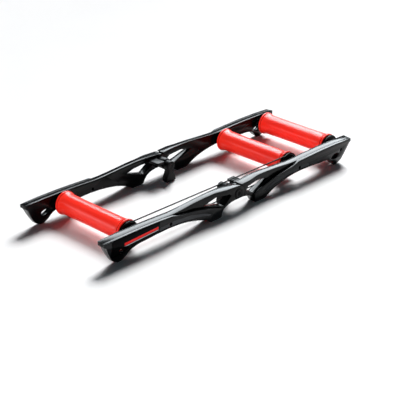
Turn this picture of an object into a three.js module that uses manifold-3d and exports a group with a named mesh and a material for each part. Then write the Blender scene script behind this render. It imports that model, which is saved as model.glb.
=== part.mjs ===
// Free-standing bicycle rollers: two folding side rails carry three turning drums.
// Millimetres, +Z up. X runs along the rails (the front is at -X), Y runs along the drums.
// The origin is on the floor, under the middle of the whole object.
import * as THREE from 'three';
import { mergeVertices } from 'three/addons/utils/BufferGeometryUtils.js';
import { ConvexGeometry } from 'three/addons/geometries/ConvexGeometry.js';
import Module from 'manifold-3d';

const wasm = await Module();
wasm.setup();

// Overall sizes
const overallLength = 1400;
const overallWidth = 486;
const hingeOffset = 4;

// Clearances
const fit = 0.3;
const running = 0.8;
const overrun = 3;

// Side rails: the section
const railDepth = 38;
const coverDepth = 11;
const mainWall = 5;
const coverWall = 4;
const panelDepth = 2;
const finLean = 14;
const finInnerLean = 10;

// Side rails: the side view
const railHeight = 106.5;
const crownRise = 3.1;
const crownRun = 60;
const chordDepth = 24;
const footPadHeight = 3;
const footPadMargin = 2.5;

// Fold hinge
const hingeHeight = 71;
const knuckleRadius = 34;
const tongueDepth = 18;
const hingeDrop = 22;
const foldLimit = Math.PI / 4;
const pinRadius = 6;
const pinSocketRadius = 3.5;
const pinSocketDepth = 5;
const capRadius = 21;
const capDepth = 1.7;
const capStubRadius = 9.5;
const capStubDepth = 3;

// Hinge foot and hinge arm, inside each rail
const hingeFootRadius = 20;
const hingeFootWidth = 28;
const hingeFootBase = 48;
const hingeArmWidth = 36.4;
const armStep = 2;
const armPadDepth = 11;
const armPadStart = 29;
const armPadEnd = 66;
const armPadOverhang = 18;

// Drums
const axleHeight = 67;
const rimRadius = 48.8;
const rimWidth = 7;
const barrelEndRadius = 43.2;
const barrelMidRadius = 42;
const flareLength = 30;
const drumNearGap = 37;
const drumFarGap = 17;
const drumWall = 3.5;
const rimStep = 1.2;
const endWall = 14;
const axleRadius = 6;
const axleBoreRadius = 3.3;
const axleBoreDepth = 12;
const axleSeatDepth = 9;
const bearingRadius = 14;
const bearingWidth = 8;

// Drum ends
const pulleyCollarRadius = 43.5;
const pulleyFlangeRadius = 46.3;
const flangeWidth = 4.5;
const dishDepth = 3;
const hubRadius = 19;
const hubRise = 4;
const endCapWidth = 4;
const endCapRadius = 44;

// Drive belt
const beltRadius = 2.75;
const beltPitchRadius = 35;
const beltInset = 6;
const beltClearance = 2.25;
const grooveSpread = 1.5;

// Fasteners
const boltRadius = 3;
const boltHeadRadius = 6.5;
const boltHeadDepth = 6;
const boltHoleRadius = 7.2;
const axleBossRadius = 12.5;
const screwRadius = 2.1;
const screwHeadRadius = 4.4;
const screwHeadDepth = 2;
const screwLength = 26;
const pillarRadius = 5.6;

// Facets round a circle
const drumFacets = 28;
const hubFacets = 16;
const boltFacets = 8;
const beltFacets = 8;
const beltTurnSteps = 14;

// Planes across the rails, as distances from the middle plane
const outerFace = overallWidth / 2;
const seam = outerFace - coverDepth;
const innerFace = outerFace - railDepth;
const earFace = outerFace - capDepth - fit;
const layerSplit = innerFace + tongueDepth;
const railFoot = footPadHeight + fit;
const armOuter = innerFace - fit;
const armInner = armOuter - hingeArmWidth;
const footOuter = armInner - fit;
const footInner = footOuter - hingeFootWidth;

// Heights of the belt's strands, and the hinge arm between them
const armPadTop = axleHeight + beltPitchRadius - beltRadius - beltClearance;
const lowerStrandTop = axleHeight - beltPitchRadius + beltRadius;
const roomOverHinge = armPadTop - armStep - hingeHeight;
const roomUnderHinge = hingeHeight - lowerStrandTop - beltClearance;
const hingeArmRadius = Math.min(roomOverHinge, roomUnderHinge);

// Planes and radii of the drum ends
const drumNearEnd = drumNearGap - innerFace;
const drumFarEnd = innerFace - drumFarGap;
const plugRadius = barrelMidRadius - drumWall + fit;
const drumBore = plugRadius + fit;
const axleRoom = axleRadius + running;
const bearingSeat = bearingRadius + fit;
const beltPlane = drumNearEnd - beltInset;
const grooveRadius = beltPitchRadius - beltRadius - fit;
const grooveHalf = beltRadius + fit;
const nearSeat = drumNearEnd + endWall - fit;
const farSeat = drumFarEnd - endWall + fit;

// A half rail runs from the fold axis to its tip. dir is -1 for the front and 1 for the rear,
// side is -1 for the near rail and 1 for the far one.
function halfRail(dir, side) {
  return { dir, side, length: overallLength / 2 - dir * hingeOffset };
}

// Which way each half rail and each side goes
const ends = { front: -1, rear: 1 };
const sides = { near: -1, far: 1 };

// Places of the axles as shares of a half rail's length, from the fold axis
const frontAxleShare = 0.7514;
const middleAxleShare = 0.5273;
const rearAxleShare = 0.9095;

// Side view of a half rail. Each row is a share of its length and a share of the rail's height.
const strutUnderShares = [[0.031, 0.45], [0.069, 0.404], [0.103, 0.329], [0.124, 0.18], [0.14, 0]];
const middleFootShares = [0.14, 0.226];
const armUnderShares = [
  [0.226, 0], [0.278, 0.18], [0.334, 0.31], [0.428, 0.437], [0.557, 0.493], [0.714, 0.441],
  [0.778, 0.413], [0.82, 0.3], [0.848, 0.1], [0.868, 0],
];
const endFootShares = [0.868, 0.904];
const endEdgeShares = [[0.904, 0], [0.932, 0.08], [0.961, 0.38], [0.988, 0.77]];
const tipUnderShare = 0.82;
const beamTopShares = [[1, 0.911], [0.83, 0.949], [0.643, 0.93], [0.515, 0.897]];
const chordTopShares = [
  [0.515, 0.897], [0.46, 0.9], [0.393, 0.925], [0.293, 0.972], [0.189, 1], [0.071, 0.986],
];
const ridgeShares = [[0.515, 0.897], [0.455, 0.82], [0.339, 0.71], [0.219, 0.535], [0.137, 0.357]];
const coverEndShares = [[0.134, 0.22], [0.143, 0]];
const windowShares = {
  plain: [
    [0.262, 0.7], [0.17, 0.835], [0.075, 0.79], [0.058, 0.695], [0.089, 0.52], [0.112, 0.375], [0.155, 0.48],
  ],
  padded: [
    [0.276, 0.69], [0.215, 0.8], [0.15, 0.83], [0.08, 0.795], [0.064, 0.65], [0.105, 0.48], [0.134, 0.4],
  ],
};
const endHoleShares = [
  [0.815, 0.42], [0.842, 0.535], [0.876, 0.555], [0.899, 0.46], [0.89, 0.31], [0.85, 0.29],
];
const panelShares = [
  [0.225, 0.25], [0.29, 0.36], [0.42, 0.5], [0.56, 0.54], [0.62, 0.53], [0.605, 0.68], [0.5, 0.7],
  [0.38, 0.63], [0.28, 0.47], [0.215, 0.3],
];
const pocketSpanShares = [0.15, 0.795];
const screwShares = [[0.325, 0.48], [0.645, 0.7]];
const hingeLegShares = [[1, 0], [1, 0.2], [0.92, 0.32], [0.7, 0.47], [0.5, 0.65], [0.46, 0.74]];
const leanLineShares = [[0.74, 0.3], [1.06, 0.95]];
const planTaperShares = [0.07, 0.17, 0.34, 0.5];
const crownStartShare = 0.86;
const crownSlopeShare = 0.097;
const curveSteps = { strutUnder: 6, armUnder: 16, endEdge: 5, beamTop: 4, chordTop: 9, ridge: 6, hole: 12 };
const sharpestCornerShare = 0.35;

// Outline of a drum's end: shares of the flare's length and rise, then of the half barrel's length and rise
const flareShares = [[0, 1], [0.1, 0.62], [0.3, 0.32], [0.6, 0.1], [1, 0]];
const waistShares = [[0.6, 0.25]];

// Colours
const paint = {
  rail: [0x16171a, 0.42],
  cover: [0x1b1c20, 0.4],
  drum: [0xe8241a, 0.3],
  black: [0x0b0c0d, 0.45],
  rubber: [0x0a0a0a, 0.85],
  steel: [0x9a9da1, 0.32],
  blackSteel: [0x26272a, 0.38],
};

const object = new THREE.Group();

// Adds one named mesh
function add(name, solid, finish) {
  const [color, roughness] = paint[finish];
  const metalness = finish === 'steel' ? 1 : 0;
  const material = new THREE.MeshStandardMaterial({ color, roughness, metalness });
  const mesh = new THREE.Mesh(geometryOf(solid), material);
  mesh.name = name;
  object.add(mesh);
}

// Turns a closed geometry into a solid for cutting and joining
function solidOf(geometry) {
  geometry.deleteAttribute('normal');
  geometry.deleteAttribute('uv');
  const merged = mergeVertices(geometry);
  return new wasm.Manifold(new wasm.Mesh({
    numProp: 3,
    vertProperties: new Float32Array(merged.attributes.position.array),
    triVerts: new Uint32Array(merged.index.array),
  }));
}

// Turns a solid back into a geometry
function geometryOf(solid) {
  const mesh = solid.getMesh();
  const geometry = new THREE.BufferGeometry();
  geometry.setAttribute('position', new THREE.BufferAttribute(new Float32Array(mesh.vertProperties), 3));
  geometry.setIndex(new THREE.BufferAttribute(new Uint32Array(mesh.triVerts), 1));
  geometry.computeVertexNormals();
  return geometry;
}

const join = (solids) => solids.reduce((whole, solid) => whole.add(solid));
const cut = (solid, tools) => tools.reduce((rest, tool) => rest.subtract(tool), solid);

// A plate: a side-view outline of [distance from the fold axis, height] between two planes across the rail
function plate(half, outline, from, to) {
  return solidOf(plateGeometry(half, outline, from, to));
}

function plateGeometry(half, outline, from, to) {
  const points = outline.map(([along, height]) => new THREE.Vector2(hingeOffset + half.dir * along, height));
  const shape = new THREE.Shape(points);
  const geometry = new THREE.ExtrudeGeometry(shape, { depth: to - from, bevelEnabled: false });
  geometry.rotateX(Math.PI / 2);
  geometry.translate(0, half.side > 0 ? to : -from, 0);
  return geometry;
}

// How far a rail's top stands above its side view: more towards the inner face, nothing at the fold axis
function crownAt(along, depth) {
  const share = Math.min(1, along / crownRun);
  return share * (crownRise + crownSlopeShare * depth);
}

// A plate with that crown
function crownedPlate(half, outline, from, to) {
  const geometry = plateGeometry(half, outline, from, to);
  const places = geometry.attributes.position;
  for (let i = 0; i < places.count; i += 1) {
    const height = places.getZ(i);
    const along = Math.abs(places.getX(i) - hingeOffset);
    const depth = outerFace - Math.abs(places.getY(i));
    if (height > up(crownStartShare)) places.setZ(i, height + crownAt(along, depth));
  }
  return solidOf(geometry);
}

// A plan: an outline of [distance from the fold axis, distance from the middle plane], over all heights
function plan(half, outline) {
  const points = outline.map(([along, across]) => (
    new THREE.Vector2(hingeOffset + half.dir * along, half.side * across)));
  const depth = 2 * railHeight;
  const geometry = new THREE.ExtrudeGeometry(new THREE.Shape(points), { depth, bevelEnabled: false });
  geometry.translate(0, 0, -overrun);
  return solidOf(geometry);
}

// A round rod across the rail
function rod(half, along, height, radius, from, to, facets) {
  const geometry = new THREE.CylinderGeometry(radius, radius, to - from, facets);
  geometry.translate(hingeOffset + half.dir * along, half.side * (from + to) / 2, height);
  return solidOf(geometry);
}

// A turned piece: a closed profile of [radius, place along Y], set on an axis along Y
function turned(profile, x, z, facets) {
  const points = profile.map(([radius, y]) => new THREE.Vector2(radius, y));
  const signedArea = THREE.ShapeUtils.area(points);
  if (signedArea < 0) points.reverse();
  if (points[0].x > 0) points.push(points[0].clone());
  const geometry = new THREE.LatheGeometry(points, facets);
  geometry.translate(x, 0, z);
  return solidOf(geometry);
}

// An outline moved inwards by a distance (outwards when it is negative), for a counterclockwise outline
function inset(outline, distance) {
  const count = outline.length;
  return outline.map(([x, y], i) => {
    const before = outline[(i + count - 1) % count];
    const after = outline[(i + 1) % count];
    const lengthIn = Math.hypot(x - before[0], y - before[1]);
    const lengthOut = Math.hypot(after[0] - x, after[1] - y);
    const normalIn = [-(y - before[1]) / lengthIn, (x - before[0]) / lengthIn];
    const normalOut = [-(after[1] - y) / lengthOut, (after[0] - x) / lengthOut];
    const turn = normalIn[0] * normalOut[0] + normalIn[1] * normalOut[1];
    const reach = distance / Math.max(1 + turn, sharpestCornerShare);
    return [x + (normalIn[0] + normalOut[0]) * reach, y + (normalIn[1] + normalOut[1]) * reach];
  });
}

// Points of a smooth curve through the given points
function smooth(points, steps, closed = false) {
  const knots = points.map(([x, y]) => new THREE.Vector3(x, y, 0));
  const curve = new THREE.CatmullRomCurve3(knots, closed, 'centripetal');
  const found = curve.getPoints(steps);
  if (closed) found.pop();
  return found.map((point) => [point.x, point.y]);
}

// Heights above the floor pad from shares of the rail's height
const up = (share) => railFoot + share * (railHeight - railFoot);

// The side view of one half rail, worked out once for its length
function sideView(half) {
  const place = ([along, height]) => [along * half.length, up(height)];
  const curve = (shares, steps) => smooth(shares.map(place), steps);
  const top = hingeHeight + knuckleRadius;
  const bottom = hingeHeight - hingeDrop;
  const strutUnder = smooth([[0, bottom], ...strutUnderShares.map(place)], curveSteps.strutUnder);
  const armUnder = curve(armUnderShares, curveSteps.armUnder);
  const endEdge = curve(endEdgeShares, curveSteps.endEdge);
  const beamTop = curve(beamTopShares, curveSteps.beamTop);
  const chordTop = smooth([...chordTopShares.map(place), [0, top]], curveSteps.chordTop);
  const ridge = curve(ridgeShares, curveSteps.ridge);
  const tipUnder = [half.length, up(tipUnderShare)];
  const shared = [...armUnder, ...endEdge, tipUnder, ...beamTop];
  return {
    main: [...strutUnder, ...shared, ...chordTop.slice(1)],
    cover: [...coverEndShares.map(place), ...shared, ...ridge.slice(1)],
    endHole: smooth(endHoleShares.map(place), curveSteps.hole, true).reverse(),
    panel: panelShares.map(place),
    chordTop,
    place,
  };
}

// The wedge that leans a face of the end fin inwards below a sloping line
function leanWedge(half, face, lean) {
  const outward = Math.sign(lean) * railDepth;
  const lines = leanLineShares.map(([along, height]) => [along * half.length, up(height)]);
  const fall = railHeight;
  const footAlong = half.length * (endFootShares[0] + endFootShares[1]) / 2;
  const [start, end] = lines;
  const lineAtFoot = start[1] + (end[1] - start[1]) * (footAlong - start[0]) / (end[0] - start[0]);
  const leanAtFall = lean * fall / lineAtFoot;
  const corners = [];
  const section = [[0, face], [fall, face - leanAtFall], [0, face + outward], [fall, face + outward]];
  for (const [along, height] of lines) {
    for (const [drop, across] of section) {
      corners.push(new THREE.Vector3(hingeOffset + half.dir * along, half.side * across, height - drop));
    }
  }
  return solidOf(new ConvexGeometry(corners));
}

// Axle places of a half rail: those that carry a drum, and the spare one that the shared moulding has
function axlePlaces(half) {
  const places = half.dir < 0 ? [frontAxleShare, middleAxleShare] : [middleAxleShare, rearAxleShare];
  return places.map((share) => share * half.length);
}

// The hollow between a main moulding and its cover, one wall inside the cover's outline
function pocketOutline(half, view) {
  const [start, end] = pocketSpanShares.map((share) => share * half.length);
  return inset(view.cover, mainWall).filter(([along]) => along > start && along < end);
}

// The main moulding of a half rail
function mainMoulding(half, view, windowKind) {
  const taper = planTaperShares.map((share) => share * half.length);
  const chordFace = innerFace + chordDepth;
  const body = crownedPlate(half, view.main, innerFace, earFace).intersect(plan(half, [
    [-overrun, innerFace - overrun],
    [half.length + overrun, innerFace - overrun],
    [half.length + overrun, seam],
    [taper[3], seam],
    [taper[2], chordFace],
    [taper[1], seam],
    [taper[0], earFace + overrun],
    [-overrun, earFace + overrun],
  ]));
  const coverRoom = plate(half, inset(view.cover, -fit), seam, outerFace + overrun);
  const pocket = plate(half, pocketOutline(half, view), innerFace + mainWall, seam + overrun);
  const bosses = axlePlaces(half).map((along) => (
    rod(half, along, axleHeight, axleBossRadius, innerFace, outerFace, hubFacets)));
  const window = windowShares[windowKind].map(view.place);
  const tools = [
    coverRoom,
    cut(pocket, bosses),
    plate(half, window, innerFace - overrun, outerFace + overrun),
    plate(half, view.endHole, innerFace - overrun, outerFace + overrun),
    leanWedge(half, outerFace, finLean),
    leanWedge(half, innerFace, -finInnerLean),
    ...axleBores(half),
    ...screwHoles(half, view),
  ];
  return hingeEnd(half, cut(body, tools));
}

// The stepped bores that hold an axle's end and its bolt
function axleBores(half) {
  const seat = innerFace + axleSeatDepth + fit;
  const headSeat = seam - boltHeadDepth;
  return axlePlaces(half).flatMap((along) => [
    rod(half, along, axleHeight, axleRadius + fit, innerFace - overrun, seat, hubFacets),
    rod(half, along, axleHeight, boltRadius + fit, innerFace, seam, boltFacets),
    rod(half, along, axleHeight, boltHoleRadius, headSeat, seam + overrun, hubFacets),
  ]);
}

// Screw holes through the inner wall of the main moulding
function screwHoles(half, view) {
  const headSeat = innerFace + screwHeadDepth + 2 * fit;
  return screwShares.map(view.place).flatMap(([along, height]) => [
    rod(half, along, height, screwHeadRadius + fit, innerFace - overrun, headSeat, boltFacets),
    rod(half, along, height, screwRadius + fit, innerFace, seam, boltFacets),
  ]);
}

// The front half's top line at the fold's limit, from the fold axis to just over a height
function swungTop(half, height) {
  const front = sideView(halfRail(ends.front, half.side));
  const swung = front.chordTop.map(([along, top]) => {
    const over = top + crownAt(along, railDepth) - hingeHeight;
    return [
      over * Math.sin(foldLimit) - along * Math.cos(foldLimit),
      hingeHeight + over * Math.cos(foldLimit) + along * Math.sin(foldLimit),
    ];
  }).reverse();
  const first = swung.findIndex((point) => point[1] > height);
  return swung.slice(0, first + 1);
}

// Shapes the end of a half rail at the fold: an outer ear on the front half, an inner tongue on the rear
function hingeEnd(half, solid) {
  const topHeight = railHeight + crownAt(crownRun, railDepth) + overrun;
  const across = innerFace - overrun;
  const bore = rod(half, 0, hingeHeight, pinRadius + fit, across, outerFace, hubFacets);
  const clear = knuckleRadius + running;
  const box = plate(half, [
    [-clear, hingeHeight - hingeDrop],
    [clear, hingeHeight - hingeDrop],
    [clear, topHeight],
    [-clear, topHeight],
  ], innerFace, outerFace);
  if (half.dir < 0) {
    const disc = rod(half, 0, hingeHeight, knuckleRadius, layerSplit + fit, earFace, drumFacets);
    const ear = disc.intersect(box);
    const tongueRoom = rod(half, 0, hingeHeight, clear, across, layerSplit + fit, drumFacets);
    const stubEnd = earFace - capStubDepth - fit;
    const capSeat = rod(half, 0, hingeHeight, capStubRadius + fit, stubEnd, outerFace, hubFacets);
    return cut(solid.add(ear), [tongueRoom, bore, capSeat]);
  }
  const swung = swungTop(half, topHeight);
  const [reliefEnd, reliefTop] = swung[swung.length - 1];
  const reliefBack = Math.min(0, reliefEnd) - overrun;
  const reliefOutline = [[0, hingeHeight], ...swung, [reliefBack, reliefTop], [reliefBack, hingeHeight]];
  const relief = plate(half, inset(reliefOutline, -running), across, outerFace);
  const earRoom = rod(half, 0, hingeHeight, clear, layerSplit - fit, outerFace, drumFacets);
  const disc = rod(half, 0, hingeHeight, knuckleRadius, innerFace, layerSplit - fit, drumFacets);
  const tongue = disc.intersect(box);
  return cut(cut(solid, [relief, earRoom]).add(tongue), [bore]);
}

// The outer cover of a half rail: a tray that closes the main moulding's pocket. The striped one, on the
// front half of the near rail, has no hole over the drum's axle bolt.
function coverMoulding(half, view) {
  const inner = seam + fit;
  const body = crownedPlate(half, view.cover, inner, outerFace);
  const bosses = axlePlaces(half).map((along) => (
    rod(half, along, axleHeight, axleBossRadius, innerFace, outerFace, hubFacets)));
  const pocket = plate(half, pocketOutline(half, view), inner - overrun, outerFace - coverWall);
  const closed = half.dir < 0 && half.side < 0;
  const openPlaces = closed ? axlePlaces(half).slice(1) : axlePlaces(half);
  const holes = openPlaces.map((along) => (
    rod(half, along, axleHeight, boltHoleRadius, innerFace, outerFace + overrun, hubFacets)));
  const shell = cut(body, [
    cut(pocket, bosses),
    plate(half, view.endHole, innerFace, outerFace + overrun),
    plate(half, view.panel, outerFace - panelDepth, outerFace + overrun),
    leanWedge(half, outerFace, finLean),
    ...holes,
  ]);
  const spots = screwShares.map(view.place);
  const pillarRoot = outerFace - coverWall + fit;
  const pillars = spots.map(([along, height]) => (
    rod(half, along, height, pillarRadius, innerFace + mainWall + fit, pillarRoot, boltFacets)));
  const pilots = spots.map(([along, height]) => (
    rod(half, along, height, screwRadius + fit, innerFace, innerFace + screwLength + 2 * fit, boltFacets)));
  return cut(join([shell, ...pillars]), pilots);
}

// A rubber pad under a foot of a half rail
function footPad(half, footShares, from, to) {
  const [start, end] = footShares.map((share) => share * half.length);
  return plate(half, [
    [start + footPadMargin, 0],
    [end - footPadMargin, 0],
    [end - footPadMargin, footPadHeight],
    [start + footPadMargin, footPadHeight],
  ], from, to);
}

// A screw that holds a cover, driven from inside the rail
function railScrew(half, [along, height]) {
  const head = innerFace + fit;
  return rod(half, along, height, screwHeadRadius, head, head + screwHeadDepth, boltFacets)
    .add(rod(half, along, height, screwRadius, head, innerFace + screwLength, boltFacets));
}

// The hinge arm inside a rail: a knuckle round the pin with a flat pad beside it
function hingeArm(half) {
  const knuckle = rod(half, 0, hingeHeight, hingeArmRadius, armInner, armOuter, drumFacets);
  const padUnder = armPadTop - armPadDepth;
  const web = plate(half, [
    [0, hingeHeight - hingeArmRadius + overrun],
    [armPadStart, hingeHeight - overrun],
    [armPadEnd, padUnder],
    [armPadEnd, armPadTop],
    [armPadStart, armPadTop],
    [hingeArmRadius - overrun, padUnder],
  ], armInner, armOuter);
  const pad = plate(half, [
    [armPadStart, padUnder],
    [armPadEnd, padUnder],
    [armPadEnd, armPadTop],
    [armPadStart, armPadTop],
  ], armInner - armPadOverhang, armOuter);
  const bore = rod(half, 0, hingeHeight, pinRadius + fit, armInner - overrun, outerFace, hubFacets);
  return cut(join([knuckle, web, pad]), [bore]);
}

// The hinge foot: a ring round the pin's inner end, on a leg that stands on the floor
function hingeFoot(half) {
  const ring = rod(half, 0, hingeHeight, hingeFootRadius, footInner, footOuter, drumFacets);
  const rise = hingeHeight - railFoot;
  const flank = hingeLegShares.map(([across, height]) => (
    [across * hingeFootBase / 2, railFoot + height * rise]));
  const [neck] = flank[flank.length - 1];
  flank.push([neck, hingeHeight - hingeFootRadius / 2]);
  const otherFlank = flank.map(([across, height]) => [-across, height]).reverse();
  const leg = plate(half, [...flank, ...otherFlank], footInner, footOuter);
  const boreRadius = pinRadius + fit;
  const bore = rod(half, 0, hingeHeight, boreRadius, footInner - overrun, footOuter + overrun, hubFacets);
  return cut(ring.add(leg), [bore]);
}

// The pad under a hinge foot
function hingeFootPad(half) {
  const base = hingeFootBase / 2 - footPadMargin;
  return plate(half, [[-base, 0], [base, 0], [base, footPadHeight], [-base, footPadHeight]],
    footInner + footPadMargin, footOuter - footPadMargin);
}

// The hinge pin, with a key socket in its inner end
function hingePin(half) {
  const outerEnd = earFace - capStubDepth - 2 * fit;
  const shank = rod(half, 0, hingeHeight, pinRadius, footInner, outerEnd, hubFacets);
  const socketEnd = footInner + pinSocketDepth;
  const socket = rod(half, 0, hingeHeight, pinSocketRadius, footInner - overrun, socketEnd, boltFacets);
  return cut(shank, [socket]);
}

// The round cap that covers the hinge on the outside
function hingeCap(half) {
  const disc = rod(half, 0, hingeHeight, capRadius, earFace + fit, outerFace, drumFacets);
  const stub = rod(half, 0, hingeHeight, capStubRadius, earFace - capStubDepth, outerFace, hubFacets);
  return disc.add(stub);
}

// Rails, hinge parts and their fasteners
for (const [end, dir] of Object.entries(ends)) {
  for (const [where, side] of Object.entries(sides)) {
    const half = halfRail(dir, side);
    const view = sideView(half);
    const kind = dir * side < 0 ? 'padded' : 'plain';
    add(`${end}_rail_${where}`, mainMoulding(half, view, kind), 'rail');
    add(`${end}_rail_cover_${where}`, coverMoulding(half, view), 'cover');
    if (kind === 'padded') add(`hinge_arm_${where}`, hingeArm(half), 'rail');
    const middlePad = footPad(half, middleFootShares, innerFace + footPadMargin, outerFace - footPadMargin);
    const endPad = footPad(half, endFootShares, innerFace + finInnerLean, outerFace - finLean);
    add(`${end}_foot_pad_${where}_middle`, middlePad, 'rubber');
    add(`${end}_foot_pad_${where}_end`, endPad, 'rubber');
    const [innerSpot, outerSpot] = screwShares.map(view.place);
    add(`${end}_screw_${where}_inner`, railScrew(half, innerSpot), 'blackSteel');
    add(`${end}_screw_${where}_outer`, railScrew(half, outerSpot), 'blackSteel');
  }
}

for (const [where, side] of Object.entries(sides)) {
  const half = halfRail(ends.rear, side);
  add(`hinge_foot_${where}`, hingeFoot(half), 'rail');
  add(`hinge_pin_${where}`, hingePin(half), 'blackSteel');
  add(`hinge_cap_${where}`, hingeCap(half), 'cover');
  add(`hinge_foot_pad_${where}`, hingeFootPad(half), 'rubber');
}

// Places of the drums along X
const drumPlaces = {
  front: hingeOffset - frontAxleShare * halfRail(ends.front, sides.near).length,
  middle: hingeOffset + middleAxleShare * halfRail(ends.rear, sides.near).length,
  rear: hingeOffset + rearAxleShare * halfRail(ends.rear, sides.near).length,
};

// The drum's hollow body: a waisted barrel that flares out to a thin rim at each end
function drumShell(x) {
  const middle = (drumNearEnd + drumFarEnd) / 2;
  const flareTop = rimRadius - rimStep;
  const flare = flareShares.map(([along, rise]) => [
    barrelEndRadius + rise * (flareTop - barrelEndRadius), rimWidth + along * flareLength]);
  const waist = waistShares.map(([along, rise]) => [
    barrelMidRadius + rise * (barrelEndRadius - barrelMidRadius), along * (middle - drumNearEnd)]);
  const half = [[rimRadius, 0], [rimRadius, rimWidth], ...flare, ...waist];
  const bore = barrelMidRadius - drumWall;
  const profile = [
    ...half.map(([radius, along]) => [radius, drumNearEnd + along]),
    [barrelMidRadius, middle],
    ...half.map(([radius, along]) => [radius, drumFarEnd - along]).reverse(),
    [drumBore, drumFarEnd],
    [drumBore, drumFarEnd - endWall],
    [bore, drumFarEnd - endWall],
    [bore, drumNearEnd + endWall],
    [drumBore, drumNearEnd + endWall],
    [drumBore, drumNearEnd],
  ];
  return turned(profile, x, axleHeight, drumFacets);
}

// The near end of a drum: a plug with the belt's pulley and a dished flange
function pulleyCap(x) {
  const face = drumNearEnd - fit;
  const mouth = grooveHalf + grooveSpread;
  const outer = beltPlane - mouth - flangeWidth;
  const shoulder = nearSeat - bearingWidth - 2 * fit;
  const profile = [
    [bearingSeat, nearSeat],
    [plugRadius, nearSeat],
    [plugRadius, face],
    [pulleyCollarRadius, face],
    [pulleyCollarRadius, beltPlane + mouth],
    [grooveRadius, beltPlane + grooveHalf],
    [grooveRadius, beltPlane - grooveHalf],
    [pulleyFlangeRadius, beltPlane - mouth],
    [pulleyFlangeRadius, outer],
    [pulleyFlangeRadius - flangeWidth, outer],
    [pulleyFlangeRadius - flangeWidth - dishDepth, outer + dishDepth],
    [hubRadius, outer + dishDepth],
    [hubRadius, outer - hubRise],
    [axleRoom, outer - hubRise],
    [axleRoom, shoulder],
    [bearingSeat, shoulder],
  ];
  return turned(profile, x, axleHeight, drumFacets);
}

// The far end of a drum: a plug with a plain face
function endCap(x) {
  const face = drumFarEnd + fit;
  const shoulder = farSeat + bearingWidth + 2 * fit;
  const profile = [
    [bearingSeat, farSeat],
    [plugRadius, farSeat],
    [plugRadius, face],
    [endCapRadius, face],
    [endCapRadius, face + endCapWidth],
    [axleRoom, face + endCapWidth],
    [axleRoom, shoulder],
    [bearingSeat, shoulder],
  ];
  return turned(profile, x, axleHeight, hubFacets);
}

// A bearing as one plain ring between two places along Y
function bearing(x, from, to) {
  const bore = axleRadius + fit;
  const profile = [[bore, from], [bearingRadius, from], [bearingRadius, to], [bore, to]];
  return turned(profile, x, axleHeight, hubFacets);
}

// The fixed axle: a rod with a collar outside each drum end and a bolt hole in each end
function axle(x) {
  const end = innerFace + axleSeatDepth;
  const profile = [
    [0, -end + axleBoreDepth],
    [axleBoreRadius, -end + axleBoreDepth],
    [axleBoreRadius, -end],
    [axleRadius, -end],
    [axleRadius, end],
    [axleBoreRadius, end],
    [axleBoreRadius, end - axleBoreDepth],
    [0, end - axleBoreDepth],
  ];
  return turned(profile, x, axleHeight, hubFacets);
}

// A bolt through the rail into the axle's end
function axleBolt(x, side) {
  const under = seam - boltHeadDepth + fit;
  const head = side * under;
  const tip = side * (innerFace + axleSeatDepth - axleBoreDepth + running);
  const profile = [
    [0, tip],
    [boltRadius, tip],
    [boltRadius, head],
    [boltHeadRadius, head],
    [boltHeadRadius, side * seam],
    [0, side * seam],
  ];
  return turned(profile, x, axleHeight, boltFacets);
}

for (const [which, x] of Object.entries(drumPlaces)) {
  add(`${which}_drum`, drumShell(x), 'drum');
  add(`${which}_drum_pulley`, pulleyCap(x), 'black');
  add(`${which}_drum_end_cap`, endCap(x), 'black');
  add(`${which}_bearing_near`, bearing(x, nearSeat - bearingWidth - fit, nearSeat - fit), 'steel');
  add(`${which}_bearing_far`, bearing(x, farSeat + fit, farSeat + bearingWidth + fit), 'steel');
  add(`${which}_axle`, axle(x), 'steel');
  add(`${which}_axle_bolt_near`, axleBolt(x, sides.near), 'steel');
  add(`${which}_axle_bolt_far`, axleBolt(x, sides.far), 'steel');
}

// The round drive belt round the front and middle pulleys, one closed loop
function beltLoop() {
  const places = [];
  const turns = [[drumPlaces.middle, -Math.PI / 2], [drumPlaces.front, Math.PI / 2]];
  for (const [x, startAngle] of turns) {
    for (let step = 0; step <= beltTurnSteps; step += 1) {
      places.push([x, startAngle + Math.PI * step / beltTurnSteps]);
    }
  }
  const positions = [];
  for (const [x, angle] of places) {
    for (let facet = 0; facet < beltFacets; facet += 1) {
      const round = 2 * Math.PI * facet / beltFacets;
      const radius = beltPitchRadius + beltRadius * Math.cos(round);
      positions.push(x + radius * Math.cos(angle), beltPlane + beltRadius * Math.sin(round));
      positions.push(axleHeight + radius * Math.sin(angle));
    }
  }
  const triangles = [];
  for (let ring = 0; ring < places.length; ring += 1) {
    const next = (ring + 1) % places.length;
    for (let facet = 0; facet < beltFacets; facet += 1) {
      const beside = (facet + 1) % beltFacets;
      const [a, b] = [ring * beltFacets + facet, ring * beltFacets + beside];
      const [c, d] = [next * beltFacets + facet, next * beltFacets + beside];
      triangles.push(a, b, c, b, d, c);
    }
  }
  const geometry = new THREE.BufferGeometry();
  geometry.setAttribute('position', new THREE.Float32BufferAttribute(positions, 3));
  geometry.setIndex(triangles);
  return solidOf(geometry);
}
add('drive_belt', beltLoop(), 'black');

export default object;
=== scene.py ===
"""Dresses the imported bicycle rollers: rails, waisted drums, hinges, belt and studio.

All sizes are in metres. +X runs along the rails towards the pair of drums, +Y along the drums away
from the belt and +Z up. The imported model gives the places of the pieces, through its nodes' boxes.
"""

from __future__ import annotations

import logging
import math
from dataclasses import dataclass, field
from enum import Enum

import bpy
from mathutils import Matrix, Vector


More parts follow.
